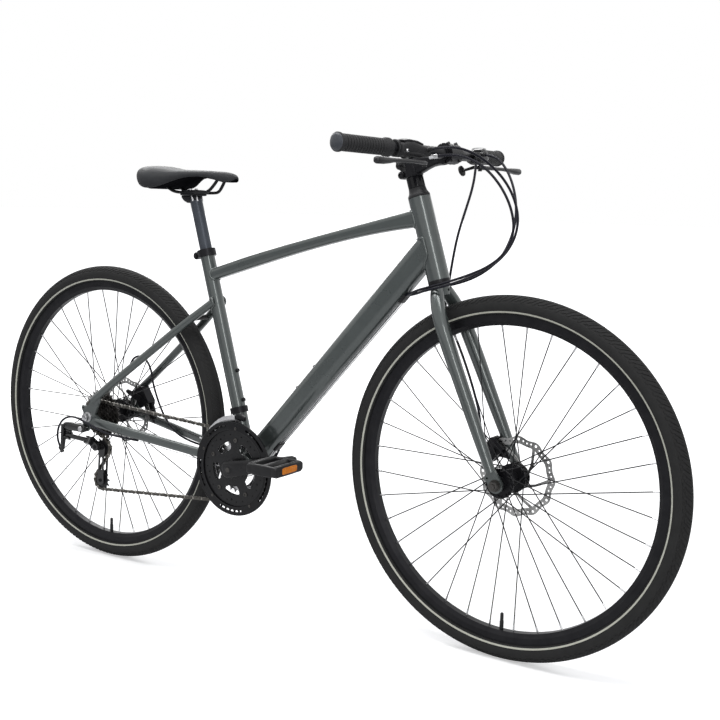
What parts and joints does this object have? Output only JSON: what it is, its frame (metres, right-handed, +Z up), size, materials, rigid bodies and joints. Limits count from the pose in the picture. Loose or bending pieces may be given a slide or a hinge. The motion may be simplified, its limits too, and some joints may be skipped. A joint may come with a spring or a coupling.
{
  "type": "hybrid bicycle",
  "caption": "Flat-bar hybrid bicycle with a welded frame, rigid fork, cable disc brakes and derailleur gears; wheels, cranks, steering, levers and gears move.",
  "frame": {"origin": "on the ground, midway between the two axles", "axes": "+X forward, +Y to the rider's left, +Z up; the drive train is on the right"},
  "size_m": [1.7636, 0.6244, 0.9875],
  "materials": {
    "frame_paint": "satin metallic paint",
    "amber_reflector": "moulded prisms",
    "black_alloy": "satin black anodised",
    "black_steel": "black plated",
    "bright_steel": "brushed",
    "chain_steel": "oiled",
    "dark_steel": "dark plated",
    "tyre_rubber": "matt",
    "grip_rubber": "matt",
    "black_plastic": "matt",
    "gloss_plastic": "gloss",
    "vinyl": "matt",
    "cable_cover": "satin"
  },
  "bodies": {
    "frame": {"head_tube": "frame_paint", "top_tube": "frame_paint", "down_tube": "frame_paint", "seat_tube": "frame_paint", "bottom_bracket_shell": "frame_paint", "chainstays": "frame_paint", "seatstays": "frame_paint", "rear_dropouts": "frame_paint", "frame_fittings": "black_plastic", "bottle_bolts": "black_steel", "frame_bearings": "black_steel", "seatpost_collar": "black_alloy", "front_derailleur_bracket": "black_alloy", "rear_derailleur_bracket": "black_steel", "rear_brake_caliper": "black_alloy", "rear_axle": "black_steel", "frame_cables": "cable_cover", "chain": "chain_steel"},
    "seat": {"seatpost": "black_alloy", "saddle_base": "black_plastic", "saddle_cushion": "vinyl"},
    "steering": {"fork": "frame_paint", "headset_spacers": "gloss_plastic", "stem": "black_alloy", "stem_faceplate": "black_alloy", "stem_bolts": "black_steel", "handlebar": "black_alloy", "grips": "grip_rubber", "control_housings": "black_plastic", "front_brake_caliper": "black_alloy", "front_axle": "black_steel", "front_brake_cable": "cable_cover"},
    "front_wheel": {"front_tyre": "tyre_rubber", "front_rim": "black_alloy", "front_spokes": "black_steel", "front_hub": "black_alloy", "front_rotor": "bright_steel"},
    "rear_wheel": {"rear_tyre": "tyre_rubber", "rear_rim": "black_alloy", "rear_spokes": "black_steel", "rear_hub": "black_alloy", "rear_rotor": "bright_steel"},
    "freewheel_cluster": {"freewheel": "dark_steel"},
    "crank": {"crank_arms": "black_alloy", "chainrings": "dark_steel", "chain_guard": "black_plastic"},
    "right_pedal_body": {"right_pedal": "black_plastic"},
    "left_pedal_body": {"left_pedal": "black_plastic"},
    "right_brake_lever_body": {"right_brake_lever": "black_plastic"},
    "left_brake_lever_body": {"left_brake_lever": "black_plastic"},
    "right_shift_lever_body": {"right_shift_lever": "black_plastic"},
    "left_shift_lever_body": {"left_shift_lever": "black_plastic"},
    "front_brake_arm_body": {"front_brake_arm": "black_steel"},
    "rear_brake_arm_body": {"rear_brake_arm": "black_steel"},
    "derailleur_link_body": {"rear_derailleur_link": "black_steel"},
    "derailleur_knuckle_body": {"rear_derailleur_knuckle": "black_steel"},
    "derailleur_cage_body": {"rear_derailleur_cage": "black_steel"},
    "guide_pulley_body": {"guide_pulley": "black_plastic"},
    "tension_pulley_body": {"tension_pulley": "black_plastic"},
    "front_derailleur_body": {"front_derailleur_cage": "bright_steel"}
  },
  "joints": [
    {"name": "steering_turn", "type": "hinge", "parent": "frame", "child": "steering", "pos_m": [0.364, 0, 0.724], "axis": [-0.3007, 0, 0.9537], "range_deg": [-65, 65], "deforming": ["frame_cables"]},
    {"name": "front_wheel_spin", "type": "hinge", "parent": "steering", "child": "front_wheel", "pos_m": [0.529, 0, 0.353], "axis": [0, 1, 0], "continuous": true},
    {"name": "rear_wheel_spin", "type": "hinge", "parent": "frame", "child": "rear_wheel", "pos_m": [-0.529, 0, 0.353], "axis": [0, 1, 0], "continuous": true},
    {"name": "crank_spin", "type": "hinge", "parent": "frame", "child": "crank", "pos_m": [-0.097, 0, 0.291], "axis": [0, 1, 0], "continuous": true, "deforming": ["chain"]},
    {"name": "freewheel_spin", "type": "hinge", "parent": "frame", "child": "freewheel_cluster", "pos_m": [-0.529, 0, 0.353], "axis": [0, 1, 0], "continuous": true},
    {"name": "right_pedal_spin", "type": "hinge", "parent": "crank", "child": "right_pedal_body", "pos_m": [0.06795, -0.0774, 0.33213], "axis": [0, 1, 0], "continuous": true},
    {"name": "left_pedal_spin", "type": "hinge", "parent": "crank", "child": "left_pedal_body", "pos_m": [-0.26195, 0.0774, 0.24987], "axis": [0, 1, 0], "continuous": true},
    {"name": "right_brake_lever_pull", "type": "hinge", "parent": "steering", "child": "right_brake_lever_body", "pos_m": [0.38664, -0.11, 0.9488], "axis": [0, 0, -1], "range_deg": [0, 14], "stiffness_Nm_per_rad": 0.6},
    {"name": "left_brake_lever_pull", "type": "hinge", "parent": "steering", "child": "left_brake_lever_body", "pos_m": [0.38664, 0.11, 0.9488], "axis": [0, 0, 1], "range_deg": [0, 14], "stiffness_Nm_per_rad": 0.6},
    {"name": "right_shift_lever_push", "type": "hinge", "parent": "steering", "child": "right_shift_lever_body", "pos_m": [0.35586, -0.14, 0.9488], "axis": [0, 0, -1], "range_deg": [0, 25], "stiffness_Nm_per_rad": 0.2},
    {"name": "left_shift_lever_push", "type": "hinge", "parent": "steering", "child": "left_shift_lever_body", "pos_m": [0.35586, 0.14, 0.9488], "axis": [0, 0, 1], "range_deg": [0, 25], "stiffness_Nm_per_rad": 0.2},
    {"name": "front_brake_arm_pull", "type": "hinge", "parent": "steering", "child": "front_brake_arm_body", "pos_m": [0.47919, 0.0274, 0.3963], "axis": [0, 1, 0], "range_deg": [0, 17.5], "stiffness_Nm_per_rad": 0.3, "deforming": ["front_brake_cable"]},
    {"name": "rear_brake_arm_pull", "type": "hinge", "parent": "frame", "child": "rear_brake_arm_body", "pos_m": [-0.47365, 0.0401, 0.38895], "axis": [0, 1, 0], "range_deg": [0, 17.5], "stiffness_Nm_per_rad": 0.3},
    {"name": "rear_derailleur_shift", "type": "hinge", "parent": "frame", "child": "derailleur_link_body", "pos_m": [-0.59028, -0.08015, 0.30102], "axis": [0, 0.5, 0.866], "range_deg": [-12, 26]},
    {"name": "rear_derailleur_level", "type": "hinge", "parent": "derailleur_link_body", "child": "derailleur_knuckle_body", "pos_m": [-0.534, -0.068, 0.294], "axis": [0, 0.5, 0.866], "range_deg": [-26, 12]},
    {"name": "cage_swing", "type": "hinge", "parent": "derailleur_knuckle_body", "child": "derailleur_cage_body", "pos_m": [-0.514, -0.0475, 0.281], "axis": [0, 1, 0], "range_deg": [-35, 20], "stiffness_Nm_per_rad": 0.4},
    {"name": "guide_pulley_spin", "type": "hinge", "parent": "derailleur_cage_body", "child": "guide_pulley_body", "pos_m": [-0.505, -0.0475, 0.277], "axis": [0, 1, 0], "continuous": true},
    {"name": "tension_pulley_spin", "type": "hinge", "parent": "derailleur_cage_body", "child": "tension_pulley_body", "pos_m": [-0.51081, -0.0475, 0.19821], "axis": [0, 1, 0], "continuous": true},
    {"name": "front_derailleur_shift", "type": "slide", "parent": "frame", "child": "front_derailleur_body", "axis": [0, 1, 0], "range_m": [-0.0075, 0.0075]},
    {"name": "seatpost_height", "type": "slide", "parent": "frame", "child": "seat", "axis": [-0.2723, 0, 0.9622], "range_m": [-0.08, 0.06]}
  ],
  "couplings": [
    {"joint": "freewheel_spin", "follows": "crank_spin", "ratio": 2.1111},
    {"joint": "guide_pulley_spin", "follows": "crank_spin", "ratio": -3.4545},
    {"joint": "tension_pulley_spin", "follows": "crank_spin", "ratio": 3.4545},
    {"joint": "front_brake_arm_pull", "follows": "left_brake_lever_pull", "ratio": 1.25},
    {"joint": "rear_brake_arm_pull", "follows": "right_brake_lever_pull", "ratio": 1.25},
    {"joint": "rear_derailleur_level", "follows": "rear_derailleur_shift", "ratio": -1}
  ]
}
